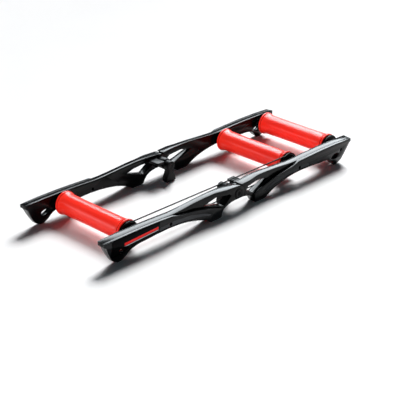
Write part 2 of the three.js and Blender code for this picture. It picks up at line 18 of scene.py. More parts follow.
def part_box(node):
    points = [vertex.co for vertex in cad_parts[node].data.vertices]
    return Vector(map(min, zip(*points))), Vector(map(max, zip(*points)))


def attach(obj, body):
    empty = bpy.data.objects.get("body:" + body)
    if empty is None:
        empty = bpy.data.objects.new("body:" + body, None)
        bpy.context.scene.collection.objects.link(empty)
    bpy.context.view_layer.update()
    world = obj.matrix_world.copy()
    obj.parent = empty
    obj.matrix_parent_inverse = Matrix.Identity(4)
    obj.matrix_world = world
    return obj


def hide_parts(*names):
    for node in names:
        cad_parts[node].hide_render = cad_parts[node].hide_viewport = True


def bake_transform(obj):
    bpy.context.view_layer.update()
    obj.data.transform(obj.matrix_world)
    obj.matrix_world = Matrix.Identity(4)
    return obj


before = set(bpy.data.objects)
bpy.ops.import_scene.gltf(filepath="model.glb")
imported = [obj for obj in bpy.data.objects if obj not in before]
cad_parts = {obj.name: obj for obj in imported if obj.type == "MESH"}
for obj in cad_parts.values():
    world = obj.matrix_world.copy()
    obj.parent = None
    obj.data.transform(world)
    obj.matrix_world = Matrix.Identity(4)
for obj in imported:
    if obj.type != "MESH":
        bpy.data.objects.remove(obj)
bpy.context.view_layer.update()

log = logging.getLogger("rollers")

Colour = tuple[float, float, float, float]
Triple = tuple[float, float, float]
Pair = tuple[float, float]
Profile = list[Pair]
Piece = bpy.types.Object
Material = bpy.types.Material
Socket = bpy.types.NodeSocket


class Body(Enum):
    """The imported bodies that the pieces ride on."""

    REAR = "rear_frame"
    FRONT = "front_frame"
    FRONT_DRUM = "front_drum_assembly"
    MIDDLE_DRUM = "middle_drum_assembly"
    REAR_DRUM = "rear_drum_assembly"


class Slot(Enum):
    """The record's material slots."""

    RAIL = "rail"
    COVER = "cover"
    DRUM = "drum"
    DRUM_END = "drum_end"
    RUBBER = "rubber"
    STEEL = "steel"
    BLACK_STEEL = "black_steel"
    BELT = "belt"


class Value:
    """A number on a shader socket, so that shader maths can be written as Python expressions."""

    def __init__(self, recipe: Recipe, socket: Socket) -> None:
        """Keeps the material's recipe and the output socket that carries the number."""
        self.recipe = recipe
        self.socket = socket

    def _join(self, operation: str, first: Value | float, second: Value | float) -> Value:
        """Adds one Math node on two numbers or sockets, and gives its result as a new value."""
        made = self.recipe.node("ShaderNodeMath", {"operation": operation}, {0: first, 1: second})
        return Value(self.recipe, made.outputs[0])

    def __add__(self, other: Value | float) -> Value:
        """Adds."""
        return self._join("ADD", self, other)

    def __sub__(self, other: Value | float) -> Value:
        """Subtracts."""
        return self._join("SUBTRACT", self, other)

    def __rsub__(self, other: float) -> Value:
        """Subtracts from a number."""
        return self._join("SUBTRACT", other, self)

    def __mul__(self, other: Value | float) -> Value:
        """Multiplies."""
        return self._join("MULTIPLY", self, other)

    def __gt__(self, other: Value | float) -> Value:
        """One where this is larger, zero elsewhere."""
        return self._join("GREATER_THAN", self, other)

    def __lt__(self, other: Value | float) -> Value:
        """One where this is smaller, zero elsewhere."""
        return self._join("LESS_THAN", self, other)

    def clamped(self) -> Value:
        """The value held between zero and one."""
        return self._join("MINIMUM", self._join("MAXIMUM", self, 0.0), 1.0)


class Recipe:
    """Builds one procedural material node by node."""

    def __init__(self, name: str) -> None:
        """Starts a material with one shader joined to the output.

        Args:
            name: The material's name.
        """
        self.material = bpy.data.materials.new(name)
        self.material.use_nodes = True
        self.tree = self.material.node_tree
        self.tree.nodes.clear()
        self.shader = self.node("ShaderNodeBsdfPrincipled")
        self.node("ShaderNodeOutputMaterial", {}, {"Surface": self.shader.outputs[0]})
        self.place = self.node("ShaderNodeTexCoord").outputs["Object"]
        self.paint: Socket | None = None
        self.shine: Value | None = None

    def node(
        self, kind: str, settings: dict | None = None, sockets: dict | None = None
    ) -> bpy.types.Node:
        """Adds a node.

        Args:
            kind: The node's type name.
            settings: The node's own properties, which are set first.
            sockets: Values, links or Value objects for its inputs, by name or number.

        Returns:
            The new node.
        """
        made = self.tree.nodes.new(kind)
        for key, setting in (settings or {}).items():
            setattr(made, key, setting)
        self._plug(made, sockets or {})
        return made

    def _plug(self, node: bpy.types.Node, sockets: dict) -> None:
        """Sets or links a node's inputs.

        Args:
            node: The node.
            sockets: Values, links or Value objects, by the input's name or number.
        """
        for key, given in sockets.items():
            source = given.socket if isinstance(given, Value) else given
            if isinstance(source, Socket):
                self.tree.links.new(source, node.inputs[key])
            else:
                node.inputs[key].default_value = source

    def noise(self, scale: float, detail: float = 3.0, stretch: Triple = (1.0, 1.0, 1.0)) -> Value:
        """Adds a noise pattern on the piece's own coordinates.

        Args:
            scale: The pattern's scale, in waves a metre.
            detail: How many finer layers it has.
            stretch: The scale along each axis.

        Returns:
            The pattern as a value round one half.
        """
        mapped = self.node("ShaderNodeMapping", {}, {"Vector": self.place, "Scale": stretch})
        sockets = {"Vector": mapped.outputs[0], "Scale": scale, "Detail": detail}
        return Value(self, self.node("ShaderNodeTexNoise", {}, sockets).outputs[0])

    def axis(self, letter: str) -> Value:
        """One coordinate of the piece's own place, by the axis's letter."""
        return self._part(self.place, letter)

    def facing(self, letter: str) -> Value:
        """One part of the surface's direction, by the axis's letter."""
        return self._part(self.node("ShaderNodeNewGeometry").outputs["Normal"], letter)

    def _part(self, vector: Socket, letter: str) -> Value:
        """One part of a vector, by the axis's letter."""
        return Value(self, self.node("ShaderNodeSeparateXYZ", {}, {0: vector}).outputs[letter])

    def blend(self, share: Value, low: Colour | Socket, high: Colour) -> Socket:
        """Mixes two colours; the share says how much of the second one shows."""
        mixed = self.node("ShaderNodeMix", {"data_type": "RGBA"}, {0: share, 6: low, 7: high})
        return mixed.outputs[2]

    def relief(self, height: Value, strength: float, distance: float) -> None:
        """Turns a height pattern, which stands a distance in metres high, into bumps."""
        sockets = {"Height": height, "Strength": strength, "Distance": distance}
        self.feed({"Normal": self.node("ShaderNodeBump", {}, sockets).outputs[0]})

    def feed(self, sockets: dict) -> None:
        """Sets or links inputs of the shader, by name."""
        self._plug(self.shader, sockets)


def colour(red: float, green: float, blue: float) -> Colour:
    """An opaque colour from three linear shares."""
    return (red, green, blue, 1.0)


def mirrored(half: Profile, start: float, end: float) -> Profile:
    """The outline of a round piece whose second half mirrors the first one."""
    back = [(radius, end - along) for radius, along in reversed(half)]
    return [(radius, start + along) for radius, along in half] + back


@dataclass(frozen=True)
class MouldedPlastic:
    """Black satin moulded plastic with a fine spark-eroded grain and slight wear of its shine."""

    name: str
    dark: Colour
    pale: Colour
    roughness: float
    specular: float = 0.12
    swing: float = 0.06
    cloud_scale: float = 7.0
    rub_scale: float = 42.0
    rub_stretch: Triple = (0.25, 1.0, 1.0)
    grain_scale: float = 1500.0
    grain_strength: float = 0.5
    grain_height: float = 0.00006

    def material(self) -> Material:
        """Builds the material."""
        recipe = Recipe(self.name)
        cloud = recipe.noise(self.cloud_scale, detail=4.0)
        grain = recipe.noise(self.grain_scale)
        rub = recipe.noise(self.rub_scale, stretch=self.rub_stretch)
        shade = ((cloud - 0.32) * 1.6 + (grain - 0.5) * 0.5).clamped()
        recipe.paint = recipe.blend(shade, self.dark, self.pale)
        recipe.shine = (cloud * 0.6 + rub * 0.4 - 0.5) * (2 * self.swing) + self.roughness
        self._dress(recipe)
        recipe.feed({
            "Base Color": recipe.paint,
            "Roughness": recipe.shine,
            "Specular IOR Level": self.specular,
        })
        recipe.relief(grain * 0.8 + rub * 0.2, self.grain_strength, self.grain_height)
        return recipe.material

    def _dress(self, recipe: Recipe) -> None:
        """Leaves the recipe's colour and roughness plain."""


@dataclass(frozen=True)
class CoverPlastic(MouldedPlastic):
    """The moulded plastic of the covers, with a paler, coarser texture in the sunk panel."""

    roughness: float = 0.22
    specular: float = 0.16
    panel_plane: float = 0.2423
    panel_reach: float = 0.445
    panel_pale: Colour = colour(0.05, 0.052, 0.056)
    panel_roughness: float = 0.5
    upright: float = 0.9

    def _dress(self, recipe: Recipe) -> None:
        """Gives the sunk panel its own texture.

        Args:
            recipe: The material recipe, whose colour and roughness are dressed.
        """
        along, across, turned = recipe.axis("X"), recipe.axis("Y"), recipe.facing("Y")
        sunk = (across * across < self.panel_plane ** 2) * (along * along < self.panel_reach ** 2)
        panel = sunk * (turned * turned > self.upright)
        recipe.shine = panel * (self.panel_roughness - recipe.shine) + recipe.shine
        recipe.paint = recipe.blend(panel, recipe.paint, self.panel_pale)


@dataclass(frozen=True)
class CapPlastic(MouldedPlastic):
    """The moulded plastic of the round hinge caps, with painted shade as dark rings in their
    grooves.
    """

    axis: Pair = (0.004, 0.071)
    # Radii of the rings of painted shade, and the dark colour that stands in for shadow in the
    # grooves.
    rings: tuple[Pair, ...] = ((0.0192, 0.03), (0.0146, 0.0178), (0.0, 0.0096))
    painted_ring_shade: Colour = colour(0.001, 0.001, 0.0012)
    ring_roughness: float = 0.6

    def _dress(self, recipe: Recipe) -> None:
        """Paints shade into the grooves as dark rings.

        Args:
            recipe: The material recipe, whose colour and roughness are dressed.
        """
        along, up = recipe.axis("X") - self.axis[0], recipe.axis("Z") - self.axis[1]
        reach = along * along + up * up
        for inner, outer in self.rings:
            # Each ring is painted shade over a groove of the cap.
            ring = (reach > inner ** 2) * (reach < outer ** 2)
            recipe.paint = recipe.blend(ring, recipe.paint, self.painted_ring_shade)
            recipe.shine = ring * (self.ring_roughness - recipe.shine) + recipe.shine


@dataclass(frozen=True)
class StripedPlastic(CoverPlastic):
    """The plastic of the near front cover: a glossy black field with a plain red stripe."""

    field_ends: Pair = (-0.666, -0.426)
    stripe_ends: Pair = (-0.604, -0.434)
    stripe_foot: float = 0.0635
    stripe_rise: float = 0.0075
    stripe_height: float = 0.0105
    line_drop: float = 0.0042
    line_height: float = 0.0022
    black: Colour = colour(0.0032, 0.0032, 0.0036)
    red: Colour = colour(0.82, 0.012, 0.01)
    silver: Colour = colour(0.62, 0.63, 0.65)
    gloss: float = 0.16

    def _dress(self, recipe: Recipe) -> None:
        """Lays the field, the stripe and the thin line under it on the outer face.

        Args:
            recipe: The material recipe, whose colour and roughness are dressed.
        """
        super()._dress(recipe)
        along, height = recipe.axis("X"), recipe.axis("Z")
        outer = recipe.facing("Y") < -self.upright
        start, end = self.stripe_ends
        share = (along - start) * (1 / (end - start))
        foot = share * self.stripe_rise + self.stripe_foot
        line_foot = foot - self.line_drop
        length = (share > 0.0) * (share < 1.0) * outer
        stripe = length * (height > foot) * (height < foot + self.stripe_height)
        line = length * (height > line_foot) * (height < line_foot + self.line_height)
        covered = outer * (along > self.field_ends[0]) * (along < self.field_ends[1])
        for mask, paint in ((covered, self.black), (stripe, self.red), (line, self.silver)):
            recipe.paint = recipe.blend(mask, recipe.paint, paint)
        recipe.feed({"Metallic": covered * (1 - stripe) * (1 - line)})
        recipe.shine = covered * (self.gloss - recipe.shine) + recipe.shine


@dataclass(frozen=True)
class DrumPlastic:
    """Bright red semi-gloss plastic with faint flow marks, with painted shade in the groove by each
    rim.
    """

    name: str = "drum_red"
    deep: Colour = colour(0.9, 0.022, 0.012)
    bright: Colour = colour(0.99, 0.04, 0.022)
    roughness: float = 0.3
    cloud_scale: float = 16.0
    flow_scale: float = 60.0
    grain_scale: float = 1900.0
    middle: float = 0.01
    groove: Pair = (0.1676, 0.1709)
    # Painted shade: a darker red coloured into the groove by each rim in place of its shadow.
    painted_groove_shade: Colour = colour(0.34, 0.004, 0.003)

    def material(self) -> Material:
        """Builds the material."""
        recipe = Recipe(self.name)
        across = recipe.axis("Y") - self.middle
        reach = across * across
        # Mask of the groove by each rim, which gets the painted shade.
        sunk = (reach > self.groove[0] ** 2) * (reach < self.groove[1] ** 2)
        cloud = recipe.noise(self.cloud_scale, stretch=(1.0, 0.5, 1.0))
        flow = recipe.noise(self.flow_scale, stretch=(1.0, 0.12, 1.0))
        grain = recipe.noise(self.grain_scale, detail=2.0)
        shade = ((cloud - 0.3) * 1.3 + (flow - 0.5) * 0.5).clamped()
        paint = recipe.blend(shade, self.deep, self.bright)
        recipe.feed({
            "Base Color": recipe.blend(sunk, paint, self.painted_groove_shade),
            "Roughness": (flow - 0.5) * 0.14 + self.roughness,
            "Specular IOR Level": 0.24,
            "Coat Weight": 0.03,
            "Coat Roughness": 0.12,
        })
        recipe.relief(grain * 0.5 + flow * 0.5, strength=0.35, distance=0.00008)
        return recipe.material


@dataclass(frozen=True)
class TurnedSteel:
    """Turned steel with fine rings across its axis."""

    name: str = "turned_steel"
    dark: Colour = colour(0.36, 0.37, 0.39)
    pale: Colour = colour(0.62, 0.63, 0.65)
    ring_scale: float = 90.0
    ring_stretch: Triple = (1.0, 25.0, 1.0)
    cloud_scale: float = 60.0

    def material(self) -> Material:
        """Builds the material."""
        recipe = Recipe(self.name)
        rings = recipe.noise(self.ring_scale, stretch=self.ring_stretch)
        cloud = recipe.noise(self.cloud_scale, detail=2.0)
        recipe.feed({
            "Base Color": recipe.blend((rings * 0.6 + cloud * 0.4).clamped(), self.dark, self.pale),
            "Metallic": 1.0,
            "Roughness": rings * 0.18 + 0.24,
        })
        recipe.relief(rings, strength=0.4, distance=0.00005)
        return recipe.material


@dataclass(frozen=True)
class BlackenedSteel:
    """Blackened steel of the screws and pins, a little rubbed."""

    name: str = "blackened_steel"
    dark: Colour = colour(0.012, 0.012, 0.013)
    pale: Colour = colour(0.045, 0.045, 0.048)
    rub_scale: float = 240.0
    cloud_scale: float = 70.0

    def material(self) -> Material:
        """Builds the material."""
        recipe = Recipe(self.name)
        rub = recipe.noise(self.rub_scale, detail=4.0)
        cloud = recipe.noise(self.cloud_scale, detail=2.0)
        recipe.feed({
            "Base Color": recipe.blend((rub * 1.8 - 0.6).clamped(), self.dark, self.pale),
            "Metallic": 0.6,
            "Roughness": cloud * 0.2 + 0.28,
        })
        recipe.relief(rub, strength=0.3, distance=0.00004)
        return recipe.material


@dataclass(frozen=True)
class Rubber:
    """Dull black rubber with a pebbled surface."""

    name: str
    dark: Colour = colour(0.008, 0.008, 0.008)
    pale: Colour = colour(0.022, 0.021, 0.02)
    roughness: float = 0.72
    pebble_scale: float = 800.0
    cloud_scale: float = 30.0

    def material(self) -> Material:
        """Builds the material."""
        recipe = Recipe(self.name)
        pebble = recipe.noise(self.pebble_scale, detail=2.0)
        cloud = recipe.noise(self.cloud_scale)
        recipe.feed({
            "Base Color": recipe.blend((cloud * 1.4 - 0.2).clamped(), self.dark, self.pale),
            "Roughness": (pebble - 0.5) * 0.2 + self.roughness,
            "Specular IOR Level": 0.1,
        })
        recipe.relief(pebble, strength=0.6, distance=0.00012)
        return recipe.material


@dataclass
class Finish:
    """A look with the record's slot that it belongs to, and its material, built once."""

    slot: Slot
    look: MouldedPlastic | DrumPlastic | TurnedSteel | BlackenedSteel | Rubber
    material: Material = field(init=False)

    def __post_init__(self) -> None:
        """Builds the material."""
        self.material = self.look.material()


class Finishes:
    """The finishes of all pieces."""

    def __init__(self) -> None:
        """Builds every finish."""
        ink, slate = colour(0.004, 0.0042, 0.0048), colour(0.013, 0.0135, 0.015)
        jet, soot = colour(0.0016, 0.0017, 0.002), colour(0.005, 0.0052, 0.006)
        coal, ash = colour(0.003, 0.0031, 0.0035), colour(0.01, 0.0105, 0.0115)
        iron, lead = colour(0.012, 0.0125, 0.014), colour(0.03, 0.031, 0.034)
        tar, pitch = colour(0.006, 0.006, 0.0065), colour(0.016, 0.016, 0.018)
        self.rail = Finish(
            Slot.RAIL, MouldedPlastic("rail_black", jet, soot, roughness=0.2, specular=0.14))
        self.cover = Finish(Slot.COVER, CoverPlastic("cover_black", ink, slate))
        self.striped = Finish(Slot.COVER, StripedPlastic("cover_striped", ink, slate))
        self.hinge = Finish(Slot.RAIL, MouldedPlastic("hinge_black", coal, ash, roughness=0.4))
        self.cap = Finish(Slot.COVER, CapPlastic("cap_black", iron, lead, roughness=0.34))
        self.drum_end = Finish(
            Slot.DRUM_END, MouldedPlastic("drum_end_black", tar, pitch, roughness=0.33))
        self.drum = Finish(Slot.DRUM, DrumPlastic())
        self.steel = Finish(Slot.STEEL, TurnedSteel())
        self.black_steel = Finish(Slot.BLACK_STEEL, BlackenedSteel())
        self.pad = Finish(Slot.RUBBER, Rubber("foot_rubber"))
        self.belt = Finish(Slot.BELT, Rubber("belt_rubber", roughness=0.5, pebble_scale=1600.0))


@dataclass(frozen=True)
class Place:
    """Where a packed round piece lies: its axis, its radius, its two ends and its way out."""

    axis: Pair
    radius: float
    inner: float
    outer: float
    out: float

    @classmethod
    def of(cls, node: str, side: str) -> Place:
        """Reads the place of a node.

        Args:
            node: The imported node.
            side: Which rail it is on; the way out along Y depends on it.

        Returns:
            The place.
        """
        low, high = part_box(node)
        centre = (low + high) / 2
        ends = (low.y, high.y, 1.0) if side == "far" else (high.y, low.y, -1.0)
        return cls((centre.x, centre.z), (high.x - low.x) / 2, *ends)


@dataclass(frozen=True)
class Bench:
    """Modelling moves that the pieces share."""

    weld: float = 0.00005
    flat_angle: float = 0.8
    edge_angle: float = 33.0
    edge_segments: int = 2
    smooth_angle: float = 32.0
    seed_size: float = 0.001
    seam_weld: float = 0.00001

    def deselect(self) -> None:
        """Leaves object mode clean, with nothing selected."""
        if bpy.context.object and bpy.context.object.mode != "OBJECT":
            bpy.ops.object.mode_set(mode="OBJECT")
        bpy.ops.object.select_all(action="DESELECT")

    def activate(self, piece: Piece) -> None:
        """Selects one piece alone and makes it active."""
        self.deselect()
        piece.select_set(True)
        bpy.context.view_layer.objects.active = piece

    def rounded(self, node: str, name: str, width: float, finish: Finish, body: Body) -> Piece:
        """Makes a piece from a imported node's shape, with clean flat faces and rounded edges.

        Args:
            node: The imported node, which the piece replaces.
            name: The piece's name.
            width: The width of its rounded edges.
            finish: Its finish.
            body: The body that it rides on.

        Returns:
            The piece.
        """
        piece = bpy.data.objects.new(name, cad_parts[node].data.copy())
        bpy.context.scene.collection.objects.link(piece)
        self.activate(piece)
        bpy.ops.object.mode_set(mode="EDIT")
        bpy.ops.mesh.select_all(action="SELECT")
        bpy.ops.mesh.remove_doubles(threshold=self.weld)
        bpy.ops.mesh.dissolve_limited(angle_limit=math.radians(self.flat_angle))
        bpy.ops.object.mode_set(mode="OBJECT")
        bevel = piece.modifiers.new("rounding", "BEVEL")
        bevel.width = width
        bevel.segments = self.edge_segments
        bevel.limit_method = "ANGLE"
        bevel.angle_limit = math.radians(self.edge_angle)
        bevel.miter_outer = "MITER_ARC"
        bpy.ops.object.modifier_apply(modifier=bevel.name)
        return self._finish(piece, finish, body, node)

    def turned(
        self, node: str, name: str, profile: Profile, axis: Pair, steps: int,
        finish: Finish, body: Body,
    ) -> Piece:
        """Makes a piece by turning a profile round an axis along Y.

        Args:
            node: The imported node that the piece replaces.
            name: The piece's name.
            profile: Pairs of radius and place along Y.
            axis: The axis's place along X and its height.
            steps: How many faces go round.
            finish: Its finish.
            body: The body that it rides on.

        Returns:
            The piece.
        """
        self.deselect()
        x, z = axis
        radius, across = profile[0]
        bpy.ops.mesh.primitive_plane_add(size=self.seed_size, location=(x + radius, across, z))
        piece = bpy.context.active_object
        piece.name = name
        bpy.ops.object.mode_set(mode="EDIT")
        bpy.ops.mesh.merge(type="CENTER")
        for (radius_now, here), (radius_next, there) in zip(profile, profile[1:]):
            step = (radius_next - radius_now, there - here, 0.0)
            bpy.ops.mesh.extrude_region_move(TRANSFORM_OT_translate={"value": step})
        bpy.ops.mesh.select_all(action="SELECT")
        bpy.ops.mesh.spin(steps=steps, angle=math.tau, center=(x, 0.0, z), axis=(0.0, 1.0, 0.0))
        bpy.ops.mesh.select_all(action="SELECT")
        bpy.ops.mesh.remove_doubles(threshold=self.seam_weld)
        bpy.ops.mesh.normals_make_consistent()
        bpy.ops.object.mode_set(mode="OBJECT")
        bpy.ops.object.transform_apply()
        return self._finish(piece, finish, body, node)

    def shade(self, piece: Piece, angle: float) -> None:
        """Shades a piece smooth but for its edges sharper than the angle, in degrees."""
        self.activate(piece)
        bpy.ops.object.shade_smooth_by_angle(angle=math.radians(angle))

    def _finish(self, piece: Piece, finish: Finish, body: Body, node: str) -> Piece:
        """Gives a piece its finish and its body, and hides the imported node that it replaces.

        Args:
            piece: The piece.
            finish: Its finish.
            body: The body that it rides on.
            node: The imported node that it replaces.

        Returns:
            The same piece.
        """
        piece.data.materials.clear()
        piece.data.materials.append(finish.material)
        self.shade(piece, self.smooth_angle)
        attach(piece, body.value)
        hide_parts(node)
        log.info("%s: %d faces on %s", piece.name, len(piece.data.polygons), body.value)
        return piece


@dataclass
class Rails:
    """The four half rails with their covers, screws and foot pads."""

    bench: Bench
    finishes: Finishes
    rounding: float = 0.0014
    lip_rounding: float = 0.0012
    pad_rounding: float = 0.0008
    screw_shank: float = 0.0021
    screw_tip: float = 0.003
    head_depth: float = 0.002
    head_round: float = 0.0008
    socket_floor: float = 0.0016
    socket_mouth: float = 0.0019
    socket_depth: float = 0.0012
    screw_steps: int = 24
    striped: tuple[str, str] = ("front", "near")

    def build(self) -> Piece:
        """Builds every piece of the rails.

        Returns:
            The striped cover.
        """
        covers = {}
        for end, body in (("front", Body.FRONT), ("rear", Body.REAR)):
            for side in ("near", "far"):
                covers[end, side] = self._half(end, side, body)
                self._screws(end, side, body)
        return covers[self.striped]

    def _half(self, end: str, side: str, body: Body) -> Piece:
        """Builds one half rail's main moulding, its cover and its two foot pads.

        Args:
            end: Which half it is.
            side: Which rail it is on.
            body: The body that they ride on.

        Returns:
            The cover.
        """
        rounded, finishes, half = self.bench.rounded, self.finishes, f"{end}_{side}"
        rounded(f"{end}_rail_{side}", f"{half}_moulding", self.rounding, finishes.rail, body)
        node = f"{end}_rail_cover_{side}"
        finish = finishes.striped if (end, side) == self.striped else finishes.cover
        cover = rounded(node, f"{half}_cover", self.lip_rounding, finish, body)
        for place in ("middle", "end"):
            node = f"{end}_foot_pad_{side}_{place}"
            rounded(node, f"{half}_{place}_pad", self.pad_rounding, finishes.pad, body)
        return cover

    def _screws(self, end: str, side: str, body: Body) -> None:
        """Builds the two cover screws of one half rail, whose heads face inwards.

        Args:
            end: Which half it is.
            side: Which rail it is on.
            body: The body that they ride on.
        """
        for which in ("inner", "outer"):
            node, name = f"{end}_screw_{side}_{which}", f"{end}_{side}_{which}_screw"
            place = Place.of(node, side)
            head, out, radius = place.inner, place.out, place.radius
            profile = [
                (0.0, head + out * self.socket_depth),
                (self.socket_floor, head + out * self.socket_depth),
                (self.socket_mouth, head),
                (radius - self.head_round, head),
                (radius, head + out * self.head_round),
                (radius, head + out * self.head_depth),
                (self.screw_shank, head + out * self.head_depth),
                (self.screw_shank, place.outer - out * self.screw_tip),
                (0.0, place.outer),
            ]
            finish = self.finishes.black_steel
            self.bench.turned(node, name, profile, place.axis, self.screw_steps, finish, body)


@dataclass
class Hinges:
    """The fold hinges: feet, arms, pins and round caps, one of each on each rail."""

    bench: Bench
    finishes: Finishes
    rounding: float = 0.0012
    pin_chamfer: float = 0.0007
    pin_steps: int = 40
    socket_radius: float = 0.0033
    socket_depth: float = 0.005
    socket_point: float = 0.001
    cap_plate: float = 0.0017
    cap_stub: float = 0.0095
    cap_sunk: float = 0.0009
    cap_soft: float = 0.0006
    cap_ring_shares: tuple[float, ...] = (0.84, 0.76, 0.5, 0.42)
    cap_steps: int = 64

    def build(self) -> None:
        """Builds every piece of both hinges."""
        finishes = self.finishes
        for side in ("near", "far"):
            arm_body = Body.REAR if side == "near" else Body.FRONT
            self._rounded("hinge_foot", side, finishes.hinge, Body.REAR)
            self._rounded("hinge_arm", side, finishes.hinge, arm_body)
            self._rounded("hinge_foot_pad", side, finishes.pad, Body.REAR)
            self._pin(side)
            self._cap(side)

    def _rounded(self, kind: str, side: str, finish: Finish, body: Body) -> None:
        """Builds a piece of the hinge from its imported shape, with rounded edges."""
        self.bench.rounded(f"{kind}_{side}", f"{side}_{kind}", self.rounding, finish, body)

    def _pin(self, side: str) -> None:
        """Builds one hinge pin with its key socket.

        Args:
            side: Which rail it is on.
        """
        node = f"hinge_pin_{side}"
        place = Place.of(node, side)
        inner, outer, out, radius = place.inner, place.outer, place.out, place.radius
        profile = [
            (0.0, inner + out * (self.socket_depth + self.socket_point)),
            (self.socket_radius, inner + out * self.socket_depth),
            (self.socket_radius, inner),
            (radius - self.pin_chamfer, inner),
            (radius, inner + out * self.pin_chamfer),
            (radius, outer - out * self.pin_chamfer),
            (radius - self.pin_chamfer, outer),
            (0.0, outer),
        ]
        self.bench.turned(
            node, f"{side}_hinge_pin", profile, place.axis, self.pin_steps,
            self.finishes.black_steel, Body.REAR)

    def _cap(self, side: str) -> None:
        """Builds one round cap: a rim, a groove, a ring and a sunk middle.

        Args:
            side: Which rail it is on.
        """
        node = f"hinge_cap_{side}"
        place = Place.of(node, side)
        inner, outer, out, radius = place.inner, place.outer, place.out, place.radius
        rim, groove, ring, middle = (radius * share for share in self.cap_ring_shares)
        back, floor, soft = outer - out * self.cap_plate, outer - out * self.cap_sunk, self.cap_soft
        profile = [
            (0.0, inner),
            (self.cap_stub, inner),
            (self.cap_stub, back),
            (radius, back),
            (radius, outer - out * soft),
            (radius - soft, outer),
            (rim, outer),
            (rim - soft, floor),
            (groove, floor),
            (groove - soft, outer),
            (ring, outer),
            (middle, floor),
            (0.0, floor),
        ]
        self.bench.turned(
            node, f"{side}_hinge_cap", profile, place.axis, self.cap_steps,
            self.finishes.cap, Body.FRONT)


